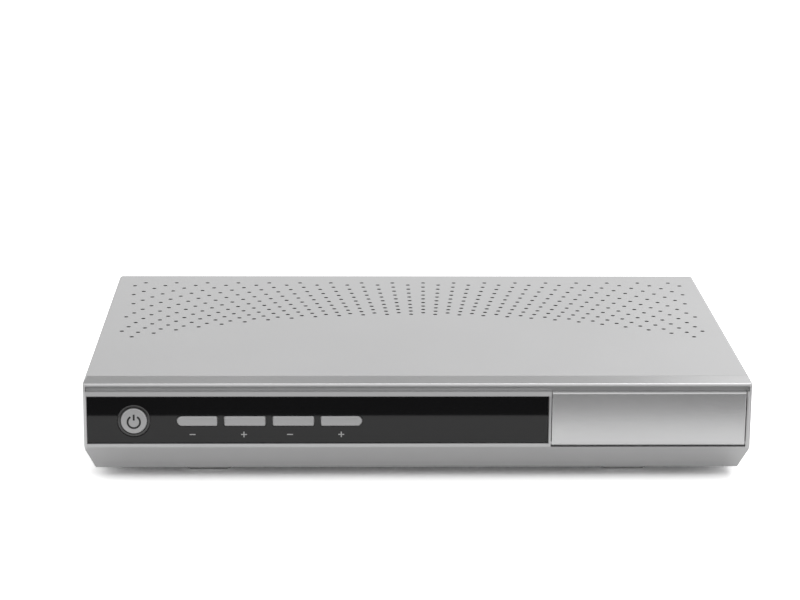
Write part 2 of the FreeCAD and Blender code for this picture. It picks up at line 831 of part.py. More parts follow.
def screw(seat, length, direction):
    """Screw: the head sits on the seat and the shank runs the other way."""
    head = small_rod(screw_head_radius, seat, screw_head_height, direction)
    lap = screw_head_height / 2
    shank = small_rod(screw_radius, seat + direction * lap, length + lap, direction * -1)
    return head.fuse(shank).removeSplitter()


def cover_screws():
    group = [screw(V(x, rear, top_z - cover_screw_drop), cover_screw_length, V(0, 1, 0))
             for x in cover_screw_places]
    for side in (-1, 1):
        seat = V(side * half, rear - side_screw_rear, crease_z + side_screw_rise)
        group.append(screw(seat, cover_screw_length, V(side, 0, 0)))
    return Part.makeCompound(group)


def board_screws():
    return Part.makeCompound([screw(V(x, y, board_top), board_screw_length, V(0, 0, 1))
                              for x, y in standoff_places()])


def front_board_screws():
    y = front_board_y + board
    length = front_screw_length - play + board
    return Part.makeCompound([screw(V(x, y, front_boss_height), length, V(0, 1, 0))
                              for x in front_boss_places])


# Boards and what they carry

def main_board():
    plate = box(main_board_left, main_board_right, front + main_board_front,
                board_rear, board_bottom, board_top)
    holes = [small_z(screw_pass, x, y, board_bottom - 1, board_top + 1) for x, y in standoff_places()]
    return cut(plate, holes)


def front_board():
    plate = box(window_left + front_board_margin, window_right - front_board_margin,
                front_board_y, front_board_y + board, front_board_bottom, front_board_top)
    holes = [small_y(screw_pass, x, front_board_y - 1, front_board_y + board + 1, front_boss_height)
             for x in front_boss_places]
    return cut(plate, holes)


def switch_places():
    places = [(button_x, top_z - button_row)]
    for x0, x1 in key_spans.values():
        places.append(((x0 + x1) / 2, top_z - key_row))
    return places


def tact_switches():
    group = []
    w = switch_width / 2
    for x, z in switch_places():
        case = box(x - w, x + w, front_board_y - switch_depth, front_board_y, z - w, z + w)
        plunger = small_y(plunger_radius, x, plunger_tip(), front_board_y - switch_depth / 2, z)
        group.append(case.fuse(plunger).removeSplitter())
    return Part.makeCompound(group)


def display_module():
    left, right, low, high = display
    return box(left, right, front_board_y - display_depth, front_board_y, low, high)


def infrared_eye():
    w, h = eye_width / 2, eye_height / 2
    case = box(eye_x - w, eye_x + w, front_board_y - switch_depth, front_board_y, eye_z - h, eye_z + h)
    lens = small_y(eye_lens, eye_x, front_board_y - plunger_reach, front_board_y - switch_depth / 2,
                   eye_z, bore_sides)
    return union([case, lens])


def status_lamps():
    return Part.makeCompound([small_y(lamp_radius, x, front_board_y - display_depth, front_board_y, eye_z)
                              for x in lamp_places])


def board_link():
    """Row of bent pins in a bar between the two boards."""
    y0 = front_board_y + board
    y1 = front + main_board_front + link_depth + 1
    bar = box(link_left, link_left + link_pins * link_pitch, y1 - link_depth, y1,
              board_top, board_top + link_height)
    z = board_top + link_height / 2 - link_pin / 2
    pins = []
    for i in range(link_pins):
        x = link_left + (i + 0.5) * link_pitch - link_pin / 2
        pins.append(box(x, x + link_pin, y0, y1 - link_depth / 2, z, z + link_pin))
    return union([bar] + pins)


def card_reader():
    x = (flap_left + flap_right) / 2
    w = reader_width / 2
    y1 = reader_front + reader_length
    slot_top = recess_floor + card_slot_height
    frame = box(x - w, x + w, reader_front, y1, board_top, slot_top + reader_roof)
    mouth = card_slot(reader_front - 1, y1 - reader_end, card_fit)
    window = box(x - reader_window / 2, x + reader_window / 2, reader_front + reader_rim,
                 y1 - reader_rim, slot_top, top_z)
    return frame.cut(mouth).cut(window)


def tuner_can():
    x0, x1 = tuner_x - tuner_width / 2, tuner_x + tuner_width / 2
    y1 = panel_front - seam
    can = box(x0, x1, y1 - tuner_depth, y1, board_top, board_top + tuner_height)
    lap = tuner_lid_proud
    top = board_top + tuner_height
    lid = box(x0 - lap, x1 + lap, y1 - tuner_depth - lap, y1, top - tuner_lid, top + lap)
    return union([can, lid])


def antenna_sockets():
    group = []
    end = rear + socket_reach
    for x in antenna_places():
        neck = small_y(antenna_neck, x, panel_front - seam, end - antenna_cap, socket_z, bore_sides)
        barrel = along_y(antenna_radius, x, panel_rear + nut_thickness + shoulder_gap, end, socket_z)
        rim = [edge for edge in barrel.Edges if edge.BoundBox.YMin > end - 0.01]
        barrel = barrel.makeChamfer(antenna_edge, rim).fuse(neck).removeSplitter()
        recess = small_y(antenna_recess_radius, x, end - antenna_recess, end + 1, socket_z, bore_sides)
        bore = small_y(antenna_bore, x, end - antenna_bore_depth, end + 1, socket_z)
        group.append(barrel.cut(recess).cut(bore))
    return Part.makeCompound(group)


def antenna_nuts():
    group = []
    for x in antenna_places():
        nut = hexagon(nut_flats, x, panel_rear, panel_rear + nut_thickness, socket_z)
        group.append(nut.cut(small_y(antenna_neck + nut_fit, x, panel_rear - 1,
                                     panel_rear + nut_thickness + 1, socket_z, bore_sides)))
    return Part.makeCompound(group)


def serial_socket():
    """Metal shell and flange of the serial socket."""
    z = board_top + serial_height
    w = serial_flange_width / 2
    h = serial_flange_height / 2
    y1 = panel_front - seam
    flange = box(serial_x - w, serial_x + w, y1 - serial_flange, y1, z - h, z + h)
    shell = prism(serial_outline(y1 - serial_flange, 0),
                  V(0, serial_flange + sheet + seam + serial_reach, 0))
    core = prism(serial_outline(y1 - 2 * serial_flange, -serial_shell_wall),
                 V(0, 4 * serial_flange + serial_reach, 0))
    holes = [small_y(screw_pass, serial_x + side * serial_post_pitch / 2, y1 - 2, y1 + 1, z)
             for side in (-1, 1)]
    return cut(union([flange, shell]), [core] + holes)


def serial_insert():
    """Moulded block behind and inside the shell, with nine contact openings."""
    z = board_top + serial_height
    y1 = panel_front - seam
    tip = y1 + sheet + seam + serial_reach - serial_set_back
    w = serial_body_width / 2
    back = y1 - serial_flange
    block = box(serial_x - w, serial_x + w, back - serial_body_depth, back,
                board_top, z + serial_body_rise)
    nose = prism(serial_outline(back - screw_fit, -serial_shell_wall - screw_fit),
                 V(0, tip - back + screw_fit, 0))
    holes = []
    for count, rise in serial_contacts:
        for i in range(count):
            x = serial_x + (i - (count - 1) / 2) * serial_contact_pitch
            holes.append(box(x - contact / 2, x + contact / 2, tip - serial_contact_depth, tip + 1,
                             z + rise - contact / 2, z + rise + contact / 2))
    return cut(union([block, nose]), holes)


def serial_posts():
    group = []
    z = board_top + serial_height
    for side in (-1, 1):
        x = serial_x + side * serial_post_pitch / 2
        post = hexagon(serial_post_flats, x, panel_rear, panel_rear + serial_post_length, z)
        shank = small_y(screw_radius, x, panel_front - serial_post_shank, panel_rear + seam, z)
        bore = small_y(serial_post_bore, x, panel_rear + serial_post_floor,
                       panel_rear + serial_post_length + 1, z)
        group.append(post.fuse(shank).removeSplitter().cut(bore))
    return Part.makeCompound(group)


def scart_socket():
    z = board_top + scart_height / 2
    y1 = panel_front - seam
    w = scart_width / 2
    block = box(scart_x - w, scart_x + w, y1 - scart_depth, y1, board_top, board_top + scart_height)
    nose = prism(scart_outline(y1 - 1, 0), V(0, 1 + sheet + 2 * seam, 0))
    face = y1 + sheet + 2 * seam
    gap = prism(scart_outline(face - scart_mouth_depth, -scart_rim), V(0, scart_mouth_depth + 1, 0))
    core = prism(scart_outline(face - scart_mouth_depth - 1, -scart_rim - scart_core_gap),
                 V(0, scart_mouth_depth + 1, 0))
    slots = []
    for row in (-1, 1):
        for i in range(scart_contacts):
            x = (scart_x + scart_contact_centre + row * scart_contact_shift
                 + (i - (scart_contacts - 1) / 2) * scart_contact_pitch)
            low = z + row * scart_contact_row - scart_contact_height / 2
            slots.append(box(x - contact / 2, x + contact / 2, face - scart_contact_depth, face + 1,
                             low, low + scart_contact_height))
    return cut(union([block, nose]), [gap.cut(core)] + slots)


def av_housing():
    w = av_block_width / 2
    y1 = panel_front - seam
    block = box(av_x - w, av_x + w, y1 - av_block_depth, y1, board_top, board_top + av_block_height)
    seats = [small_y(av_barrel_neck + screw_fit, x, y1 - av_seat_depth, y1 + 1, board_top + av_height,
                     bore_sides) for x in av_places()]
    return cut(block, seats)


def av_barrels():
    y1 = panel_front - seam
    z = board_top + av_height
    group = []
    for x in av_places():
        tip = panel_rear + av_barrel_reach
        neck = small_y(av_barrel_neck, x, y1 - av_seat_depth, tip - 1, z, bore_sides)
        barrel = along_y(av_barrel_radius, x, panel_rear + shoulder_gap, tip, z)
        barrel = barrel.fuse(neck).removeSplitter()
        bore = small_y(av_barrel_bore, x, y1 - av_seat_depth - 1, tip + 1, z, bore_sides)
        group.append(barrel.cut(bore))
    return Part.makeCompound(group)


def av_insert(index):
    x = av_places()[index]
    z = board_top + av_height
    tip = panel_rear + av_barrel_reach - av_set_back
    body = small_y(av_barrel_bore - screw_fit, x, panel_front - seam - av_seat_depth, tip, z, bore_sides)
    return body.cut(small_y(av_bore, x, tip - av_bore_depth, tip + 1, z, bore_sides))


def dc_jack():
    y1 = panel_front - seam
    z = board_top + dc_height / 2
    w = dc_width / 2
    body = box(dc_x - w, dc_x + w, y1 - dc_depth, y1, board_top, board_top + dc_height)
    nose = small_y(dc_bore + dc_nose_wall, dc_x, y1 - 1, y1 + sheet + seam, z, bore_sides)
    bore = small_y(dc_bore - dc_bore_wall, dc_x, dc_mouth() - dc_bore_depth, dc_mouth() + 1, z,
                   bore_sides)
    return union([body, nose]).cut(bore)


def dc_mouth():
    return panel_front + sheet


def dc_pin():
    z = board_top + dc_height / 2
    y0 = dc_mouth() - dc_bore_depth
    return along_y(dc_pin_radius, dc_x, y0, y0 + dc_pin_length, z)


def on_board(places):
    """Boxes that stand on the main board."""
    return [box(x, x + w, board_rear + y, board_rear + y + d, board_top, board_top + h)
            for x, y, w, d, h in places]


def decoder_chip():
    return on_board([decoder])[0]


def decoder_heatsink():
    x0, y0, w, d, height = heatsink
    y0 += board_rear
    base = board_top + decoder[4]
    pitch = (w - heatsink_fin) / (heatsink_fins - 1)
    plate = box(x0, x0 + w, y0, y0 + d, base, base + heatsink_base)
    fins = [box(x0 + i * pitch, x0 + i * pitch + heatsink_fin, y0, y0 + d, base, base + height)
            for i in range(heatsink_fins)]
    return union([plate] + fins)


def memory_chips():
    return Part.makeCompound(on_board(chips))


def capacitors():
    return Part.makeCompound([small_z(r, x, board_rear + y, board_top, board_top + h, bore_sides)
                              for x, y, r, h in cans])


def power_coils():
    group = []
    for block, place in zip(on_board(coils), coils):
        upright = [edge for edge in block.Edges if abs(edge.BoundBox.ZLength - place[4]) < 0.01]
        group.append(block.makeChamfer(coil_corner, upright))
    return Part.makeCompound(group)


def crystal():
    x, y, w, d, h = crystal_box
    y += board_rear
    pairs = [(x, y), (x + w, y), (x + w, y + d), (x, y + d)]
    return prism(outline(in_xy(pairs, board_top), [d / 3] * 4, small_flats), V(0, 0, h))


def save(name, shape):
    solids = shape.Solids
    volume = sum(solid.Volume for solid in solids)
    print(f"{name:20s} {len(solids)} solids {volume:10.1f} mm3 valid {shape.isValid()}")
    shape.exportStep(f"parts/{name}.step")


def main():
    os.makedirs("parts", exist_ok=True)
    for build in (top_cover, bottom_tray, front_fascia, window_plate, power_light_ring,
                  power_button, card_flap, feet, cover_screws, board_screws,
                  front_board_screws, main_board, front_board, tact_switches, display_module,
                  infrared_eye, status_lamps, board_link, card_reader, tuner_can,
                  antenna_sockets, antenna_nuts, serial_socket, serial_insert, serial_posts,
                  scart_socket, av_housing, av_barrels, dc_jack, dc_pin, decoder_chip,
                  decoder_heatsink, memory_chips, capacitors, power_coils, crystal):
        save(build.__name__, build())
    for name in key_spans:
        save(name, front_key(name))
    for index, name in enumerate(("av_insert_video", "av_insert_left", "av_insert_right")):
        save(name, av_insert(index))


main()
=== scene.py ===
import bpy
import bmesh
import json
import math
from mathutils import Matrix, Vector
from mathutils.geometry import delaunay_2d_cdt


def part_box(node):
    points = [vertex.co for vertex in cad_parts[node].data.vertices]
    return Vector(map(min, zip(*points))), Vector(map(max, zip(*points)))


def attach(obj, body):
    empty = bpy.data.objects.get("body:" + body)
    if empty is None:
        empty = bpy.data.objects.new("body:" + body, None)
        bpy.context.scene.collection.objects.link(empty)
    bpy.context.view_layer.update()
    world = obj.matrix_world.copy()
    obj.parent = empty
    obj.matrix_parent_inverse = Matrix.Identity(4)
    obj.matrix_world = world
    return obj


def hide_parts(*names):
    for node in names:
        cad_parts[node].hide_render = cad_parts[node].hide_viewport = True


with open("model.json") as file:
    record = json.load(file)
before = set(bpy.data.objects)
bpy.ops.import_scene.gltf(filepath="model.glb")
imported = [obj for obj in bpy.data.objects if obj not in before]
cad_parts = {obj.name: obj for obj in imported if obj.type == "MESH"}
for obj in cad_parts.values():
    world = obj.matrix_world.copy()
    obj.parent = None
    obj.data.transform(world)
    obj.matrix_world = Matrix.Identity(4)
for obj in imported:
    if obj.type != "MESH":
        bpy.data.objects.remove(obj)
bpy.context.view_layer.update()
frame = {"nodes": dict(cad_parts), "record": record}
nodes = frame["nodes"]
housing = "housing"

# All sizes are in metres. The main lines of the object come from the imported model.
mm = 0.001
cover_low, cover_high = (Vector(corner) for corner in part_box("top_cover"))
front_y = Vector(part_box("front_fascia")[0]).y
top_z = cover_high.z

# Camera, solved from the four edges of the cover in the photograph
camera_place = Vector((-30.55, -958.13, 299.52)) * mm
camera_yaw = -1.53
camera_pitch = -14.703
camera_roll = -0.411
camera_lens = 109.35
camera_sensor = 36.0


def add_camera():
    data = bpy.data.cameras.new("camera")
    data.lens = camera_lens
    data.sensor_width = camera_sensor
    data.clip_start = 0.05
    data.clip_end = 20.0
    camera = bpy.data.objects.new("camera", data)
    bpy.context.scene.collection.objects.link(camera)
    turn = Matrix.Rotation(math.radians(camera_yaw), 4, "Z")
    turn = turn @ Matrix.Rotation(math.radians(camera_pitch), 4, "X")
    turn = turn @ Matrix.Rotation(math.radians(camera_roll), 4, "Y")
    turn = turn @ Matrix.Rotation(math.radians(90), 4, "X")
    camera.matrix_world = Matrix.Translation(camera_place) @ turn
    bpy.context.scene.camera = camera


def link(obj):
    bpy.context.scene.collection.objects.link(obj)
    return obj


def mesh_object(name, vertices, faces):
    mesh = bpy.data.meshes.new(name)
    mesh.from_pydata(vertices, [], faces)
    mesh.update()
    return link(bpy.data.objects.new(name, mesh))


def card(name, x0, x1, y0, y1, z):
    corners = [(x0, y0, z), (x1, y0, z), (x1, y1, z), (x0, y1, z)]
    return mesh_object(name, corners, [(0, 1, 2, 3)])


def plain_nodes(name):
    material = bpy.data.materials.new(name)
    material.use_nodes = True
    tree = material.node_tree
    tree.nodes.clear()
    output = tree.nodes.new("ShaderNodeOutputMaterial")
    return material, tree, output


# Stage: white floor and surroundings, with dark areas that only reflections see.
# The floor is brighter to the camera than it is as a source of light for the object.

floor_half = 6.0
floor_bounce = 0.42
floor_mirrored = 0.9
floor_seen = 1.85
world_level = 0.82
flag_start = 0.0785      # ahead of the front plane
flag_end = 2.5           # distance at which the front flag ends
flag_half = 1.5
flag_lift = 0.5 * mm
flag_grey = 0.10
rear_flag_distance = 0.5
rear_flag_low = 0.26
rear_flag_high = 0.75
rear_flag_right = 0.19


def add_stage():
    floor = card("floor", -floor_half, floor_half, -floor_half, floor_half, 0)
    material, tree, output = plain_nodes("floor_white")
    shader = tree.nodes.new("ShaderNodeBsdfDiffuse")
    path = tree.nodes.new("ShaderNodeLightPath")
    mirrored = tree.nodes.new("ShaderNodeMath")
    mirrored.operation = "MULTIPLY_ADD"
    mirrored.inputs[1].default_value = floor_mirrored - floor_bounce
    mirrored.inputs[2].default_value = floor_bounce
    seen = tree.nodes.new("ShaderNodeMath")
    seen.operation = "MULTIPLY_ADD"
    seen.inputs[1].default_value = floor_seen - floor_bounce
    tree.links.new(path.outputs["Is Glossy Ray"], mirrored.inputs[0])
    tree.links.new(path.outputs["Is Camera Ray"], seen.inputs[0])
    tree.links.new(mirrored.outputs[0], seen.inputs[2])
    tree.links.new(seen.outputs[0], shader.inputs["Color"])
    tree.links.new(shader.outputs[0], output.inputs["Surface"])
    floor.data.materials.append(material)
    dark, tree, output = plain_nodes("flag_dark")
    glow = tree.nodes.new("ShaderNodeEmission")
    glow.inputs["Color"].default_value = (flag_grey, flag_grey, flag_grey, 1)
    tree.links.new(glow.outputs[0], output.inputs["Surface"])
    front_flag = card("front_flag", -flag_half, flag_half, -flag_end, front_y - flag_start, flag_lift)
    left, right, y = -flag_half, rear_flag_right, rear_flag_distance
    rear_flag = mesh_object("rear_flag", [(left, y, rear_flag_low), (right, y, rear_flag_low),
                                          (right, y, rear_flag_high), (left, y, rear_flag_high)],
                            [(0, 1, 2, 3)])
    for flag in (front_flag, rear_flag):
        flag.data.materials.append(dark)
        flag.visible_camera = False
        flag.visible_diffuse = False
        flag.visible_shadow = False
        flag.visible_transmission = False


light_place = (0.5, 0.6, 1.6)
light_size = 1.6
light_power = 13.0


def add_world():
    world = bpy.data.worlds.new("studio")
    bpy.context.scene.world = world
    world.use_nodes = True
    tree = world.node_tree
    tree.nodes.clear()
    output = tree.nodes.new("ShaderNodeOutputWorld")
    seen = tree.nodes.new("ShaderNodeBackground")
    seen.inputs["Color"].default_value = (1, 1, 1, 1)
    seen.inputs["Strength"].default_value = 1.0
    light = tree.nodes.new("ShaderNodeBackground")
    light.inputs["Color"].default_value = (1, 1, 1, 1)
    light.inputs["Strength"].default_value = world_level
    path = tree.nodes.new("ShaderNodeLightPath")
    mix = tree.nodes.new("ShaderNodeMixShader")
    tree.links.new(path.outputs["Is Camera Ray"], mix.inputs["Fac"])
    tree.links.new(light.outputs[0], mix.inputs[1])
    tree.links.new(seen.outputs[0], mix.inputs[2])
    tree.links.new(mix.outputs[0], output.inputs["Surface"])


def add_light(name, place, target, size, power):
    data = bpy.data.lights.new(name, "AREA")
    data.shape = "SQUARE"
    data.size = size
    data.energy = power
    light = link(bpy.data.objects.new(name, data))
    light.location = place
    direction = Vector(target) - Vector(place)
    light.rotation_euler = direction.to_track_quat("-Z", "Y").to_euler()


# Materials: each has its own grain, colour variation and roughness pattern

fine_share = 0.7         # weight of the fine grain in the colour, beside the broad patches
patch_low = 0.1          # range of the broad patches that the roughness follows
patch_high = 0.9
broad_detail = 4.0
fine_detail = 3.0
coat_roughness = 0.05
least_roughness = 0.01


def surface(name, colour, metallic=0.0, roughness=0.4, rough_spread=0.05, colour_spread=0.04,
            grain=1200.0, bump=0.02, bump_depth=0.0001, patch=18.0, coat=0.0, specular=0.5,
            stretch=(1, 1, 1)):
    """Principled material with fine grain for bump and broad patches for colour and roughness."""
    material, tree, output = plain_nodes(name)
    shader = tree.nodes.new("ShaderNodeBsdfPrincipled")
    shader.inputs["Metallic"].default_value = metallic
    shader.inputs["Coat Weight"].default_value = coat
    shader.inputs["Coat Roughness"].default_value = coat_roughness
    shader.inputs["Specular IOR Level"].default_value = specular
    coordinates = tree.nodes.new("ShaderNodeTexCoord")
    mapping = tree.nodes.new("ShaderNodeMapping")
    mapping.inputs["Scale"].default_value = stretch
    tree.links.new(coordinates.outputs["Object"], mapping.inputs["Vector"])
    broad = tree.nodes.new("ShaderNodeTexNoise")
    broad.inputs["Scale"].default_value = patch
    broad.inputs["Detail"].default_value = broad_detail
    tree.links.new(mapping.outputs[0], broad.inputs["Vector"])
    fine = tree.nodes.new("ShaderNodeTexNoise")
    fine.inputs["Scale"].default_value = grain
    fine.inputs["Detail"].default_value = fine_detail
    tree.links.new(mapping.outputs[0], fine.inputs["Vector"])
    tint = tree.nodes.new("ShaderNodeMix")
    tint.data_type = "RGBA"
    low = [max(c * (1 - colour_spread), 0) for c in colour]
    high = [min(c * (1 + colour_spread), 1) for c in colour]
    tint.inputs["A"].default_value = (*low, 1)
    tint.inputs["B"].default_value = (*high, 1)
    blend = tree.nodes.new("ShaderNodeMath")
    blend.operation = "ADD"
    half_fine = tree.nodes.new("ShaderNodeMath")
    half_fine.operation = "MULTIPLY_ADD"
    half_fine.inputs[1].default_value = fine_share
    half_fine.inputs[2].default_value = -fine_share / 2
    tree.links.new(fine.outputs["Fac"], half_fine.inputs[0])
    tree.links.new(broad.outputs["Fac"], blend.inputs[0])
    tree.links.new(half_fine.outputs[0], blend.inputs[1])
    tree.links.new(blend.outputs[0], tint.inputs["Factor"])
    tree.links.new(tint.outputs["Result"], shader.inputs["Base Color"])
    rough = tree.nodes.new("ShaderNodeMapRange")
    rough.inputs["From Min"].default_value = patch_low
    rough.inputs["From Max"].default_value = patch_high
    rough.inputs["To Min"].default_value = max(roughness - rough_spread, least_roughness)
    rough.inputs["To Max"].default_value = roughness + rough_spread
    tree.links.new(broad.outputs["Fac"], rough.inputs["Value"])
    tree.links.new(rough.outputs["Result"], shader.inputs["Roughness"])
    relief = tree.nodes.new("ShaderNodeBump")
    relief.inputs["Strength"].default_value = bump
    relief.inputs["Distance"].default_value = bump_depth
    tree.links.new(fine.outputs["Fac"], relief.inputs["Height"])
    tree.links.new(relief.outputs["Normal"], shader.inputs["Normal"])
    tree.links.new(shader.outputs[0], output.inputs["Surface"])
    return material


fascia_metallic = 0.7
strip_top = 3.85 * mm    # below the top of the cover
strip_bottom = 5.8 * mm
strip_depth = 0.45 * mm


def make_materials():
    grey = (1.0, 1.0, 1.005)

    def silver(level):
        return [level * c for c in grey]
    return {
        "cover_paint": surface("cover_paint", silver(0.56), metallic=0.35, roughness=0.42, grain=2600,
                               bump=0.12, colour_spread=0.03),
        "tray_steel": surface("tray_steel", silver(0.55), metallic=0.7, roughness=0.38, patch=60,
                              colour_spread=0.08, grain=900, bump=0.05),
        "fascia_silver": surface("fascia_silver", silver(0.60), metallic=fascia_metallic, roughness=0.31,
                                 rough_spread=0.03, grain=3200, bump=0.06, colour_spread=0.02),
        "flap_silver": surface("flap_silver", silver(0.71), metallic=0.75, roughness=0.22, grain=3200,
                               bump=0.06, colour_spread=0.02),
        "window_black": surface("window_black", (0.004, 0.004, 0.0045), roughness=0.04, rough_spread=0.01,
                                grain=140, bump=0.01, colour_spread=0.2),
        "key_silver": surface("key_silver", silver(0.55), metallic=0.5, roughness=0.32,
                              rough_spread=0.03, grain=3200, bump=0.05, colour_spread=0.02),
        "ring_clear": surface("ring_clear", silver(0.035), roughness=0.10, rough_spread=0.03,
                              grain=800, bump=0.02, coat=0.6),
        # Hole walls of the cover: bare metal of the cut edge, darkened further as painted shade inside the
        # vent holes
        "bare_edge_and_hole_shade": surface("bare_edge_and_hole_shade", silver(0.10), metallic=0.6, roughness=0.5, grain=2600, bump=0.1),
        # Near-black: printed ink on the power button, and painted shade where it fills the cross recesses
        # of the screw heads
        "ink_and_painted_shade": surface("ink_and_painted_shade", silver(0.022), roughness=0.5, grain=2400, bump=0.05,
                              colour_spread=0.1),
        "sign_ink": surface("sign_ink", silver(0.52), roughness=0.45, grain=2400, bump=0.04),
        "foot_rubber": surface("foot_rubber", (0.50, 0.50, 0.50), roughness=0.7, grain=1600, bump=0.3,
                               colour_spread=0.2),
        "screw_steel": surface("screw_steel", silver(0.6), metallic=1.0, roughness=0.22, grain=2400,
                               bump=0.08),
        "board_green": surface("board_green", (0.015, 0.10, 0.04), roughness=0.3, patch=90,
                               colour_spread=0.25, grain=1800, bump=0.15),
        "part_black": surface("part_black", (0.02, 0.02, 0.021), roughness=0.55, grain=2600, bump=0.15,
                              colour_spread=0.15),
        "display_grey": surface("display_grey", (0.04, 0.04, 0.042), roughness=0.4, grain=1500, bump=0.05),
        "lamp_red": surface("lamp_red", (0.35, 0.02, 0.015), roughness=0.12, grain=600, bump=0.02),
        "can_tin": surface("can_tin", silver(0.62), metallic=0.95, roughness=0.3, patch=70, grain=700,
                           bump=0.08, colour_spread=0.06),
        "socket_nickel": surface("socket_nickel", (0.66, 0.64, 0.60), metallic=1.0, roughness=0.2,
                                 grain=1500, bump=0.05),
        "socket_black": surface("socket_black", (0.015, 0.015, 0.016), roughness=0.42, grain=2200,
                                bump=0.1, colour_spread=0.15),
        "insert_yellow": surface("insert_yellow", (0.78, 0.55, 0.02), roughness=0.35, grain=1800,
                                 bump=0.05),
        "insert_white": surface("insert_white", (0.75, 0.75, 0.73), roughness=0.35, grain=1800, bump=0.05),
        "insert_red": surface("insert_red", (0.55, 0.015, 0.015), roughness=0.35, grain=1800, bump=0.05),
        "heatsink_alu": surface("heatsink_alu", silver(0.5), metallic=0.9, roughness=0.4, grain=900,
                                bump=0.1),
        "sleeve_dark": surface("sleeve_dark", (0.015, 0.02, 0.06), roughness=0.25, grain=900, bump=0.05),
        "crystal_can": surface("crystal_can", silver(0.65), metallic=1.0, roughness=0.2, grain=1200,
                               bump=0.05),
    }


def nonmetallic_strip(material):
    """The strip between groove and window is made non-metallic, so it renders lighter than the rest of the
    fascia.
    """
    tree = material.node_tree
    shader = next(node for node in tree.nodes if node.bl_idname == "ShaderNodeBsdfPrincipled")
    coordinates = tree.nodes.new("ShaderNodeTexCoord")
    split = tree.nodes.new("ShaderNodeSeparateXYZ")
    tree.links.new(coordinates.outputs["Object"], split.inputs[0])
    level = tree.nodes.new("ShaderNodeMath")
    level.operation = "COMPARE"
    level.inputs[1].default_value = top_z - (strip_top + strip_bottom) / 2
    level.inputs[2].default_value = (strip_bottom - strip_top) / 2
    tree.links.new(split.outputs["Z"], level.inputs[0])
    ahead = tree.nodes.new("ShaderNodeMath")
    ahead.operation = "LESS_THAN"
    ahead.inputs[1].default_value = front_y + strip_depth
    tree.links.new(split.outputs["Y"], ahead.inputs[0])
    both = tree.nodes.new("ShaderNodeMath")
    both.operation = "MULTIPLY"
    tree.links.new(level.outputs[0], both.inputs[0])
    tree.links.new(ahead.outputs[0], both.inputs[1])
    metal = tree.nodes.new("ShaderNodeMath")
    metal.operation = "MULTIPLY_ADD"
    metal.inputs[1].default_value = -fascia_metallic
    metal.inputs[2].default_value = fascia_metallic
    tree.links.new(both.outputs[0], metal.inputs[0])
    tree.links.new(metal.outputs[0], shader.inputs["Metallic"])


def dress_nodes(materials):
    """Gives every node of the model the finish of its slot."""
    for part in frame["record"]["subparts"]:
        obj = nodes[part["node"]]
        finish = materials[part["material_slot"]]
        if not obj.material_slots:
            obj.data.materials.append(finish)
        for slot in obj.material_slots:
            slot.material = finish


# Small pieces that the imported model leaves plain

def bars_object(name, loops, y, body, finish):
    """Flat print or recess on a surface that faces the front, from outlines in X and Z."""
    vertices, faces = [], []
    for loop in loops:
        first = len(vertices)
        vertices += [(x, y, z) for x, z in loop]
        faces.append(tuple(range(first, first + len(loop))))
    obj = mesh_object(name, vertices, faces)
    obj.data.materials.append(finish)
    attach(obj, body)
    return obj


def bar_loop(x, z, width, height):
    w, h = width / 2, height / 2
    return [(x - w, z - h), (x + w, z - h), (x + w, z + h), (x - w, z + h)]


def ring_loops(x, z, inner, outer, start, end, steps):
    """Open ring of quads from one angle to another, measured from straight up."""
    loops = []
    for i in range(steps):
        a, b = (start + (end - start) * (i + k) / steps for k in (0, 1))
        loops.append([(x + inner * math.sin(a), z + inner * math.cos(a)),
                      (x + outer * math.sin(a), z + outer * math.cos(a)),
                      (x + outer * math.sin(b), z + outer * math.cos(b)),
                      (x + inner * math.sin(b), z + inner * math.cos(b))])
    return loops


print_gap = 0.00002      # printed signs stand this far in front of their surface
symbol_outer = 2.7 * mm
symbol_stroke = 0.72 * mm
symbol_opening = math.radians(32)
symbol_steps = 40
stroke_place = 0.66      # of the outer radius: the upright stroke and its length
stroke_length = 0.86
symbol_drop = 0.3 * mm
sign_length = 2.2 * mm
sign_stroke = 0.42 * mm
sign_drop = 20.85 * mm   # below the top of the cover
sign_pairs = ((-84.9, -65.6), (-48.3, -29.0))


def power_symbol(materials):
    low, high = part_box("power_button")
    x, z = (low.x + high.x) / 2, (low.z + high.z) / 2 - symbol_drop
    loops = ring_loops(x, z, symbol_outer - symbol_stroke, symbol_outer, symbol_opening,
                       2 * math.pi - symbol_opening, symbol_steps)
    loops.append(bar_loop(x, z + symbol_outer * stroke_place, symbol_stroke,
                          symbol_outer * stroke_length))
    bars_object("power_symbol", loops, low.y - print_gap, "power_button_body",
                materials["ink_and_painted_shade"])


def window_signs(materials):
    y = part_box("window_plate")[0].y - print_gap
    z = top_z - sign_drop
    loops = []
    for minus, plus in sign_pairs:
        loops.append(bar_loop(minus * mm, z, sign_length, sign_stroke))
        loops.append(bar_loop(plus * mm, z, sign_length, sign_stroke))
        for side in (-1, 1):
            offset = side * (sign_length + sign_stroke) / 4
            loops.append(bar_loop(plus * mm, z + offset, sign_stroke, (sign_length - sign_stroke) / 2))
    bars_object("window_signs", loops, y, housing, materials["sign_ink"])


def lathe(name, profile, steps, places, direction):
    """Turned form from (distance, radius) pairs, repeated at places along a direction."""
    across = Vector((0, 0, 1))
    other = Vector(direction).cross(across)
    vertices, faces = [], []
    for place in places:
        first = len(vertices)
        for along, radius in profile:
            for i in range(steps):
                a = 2 * math.pi * i / steps
                vertices.append(Vector(place) + Vector(direction) * along
                                + across * (radius * math.cos(a)) + other * (radius * math.sin(a)))
        for row in range(len(profile) - 1):
            for i in range(steps):
                j = (i + 1) % steps
                base = first + row * steps
                faces.append((base + i, base + j, base + steps + j, base + steps + i))
        faces.append(tuple(first + i for i in reversed(range(steps))))
        faces.append(tuple(first + (len(profile) - 1) * steps + i for i in range(steps)))
    return mesh_object(name, vertices, faces)


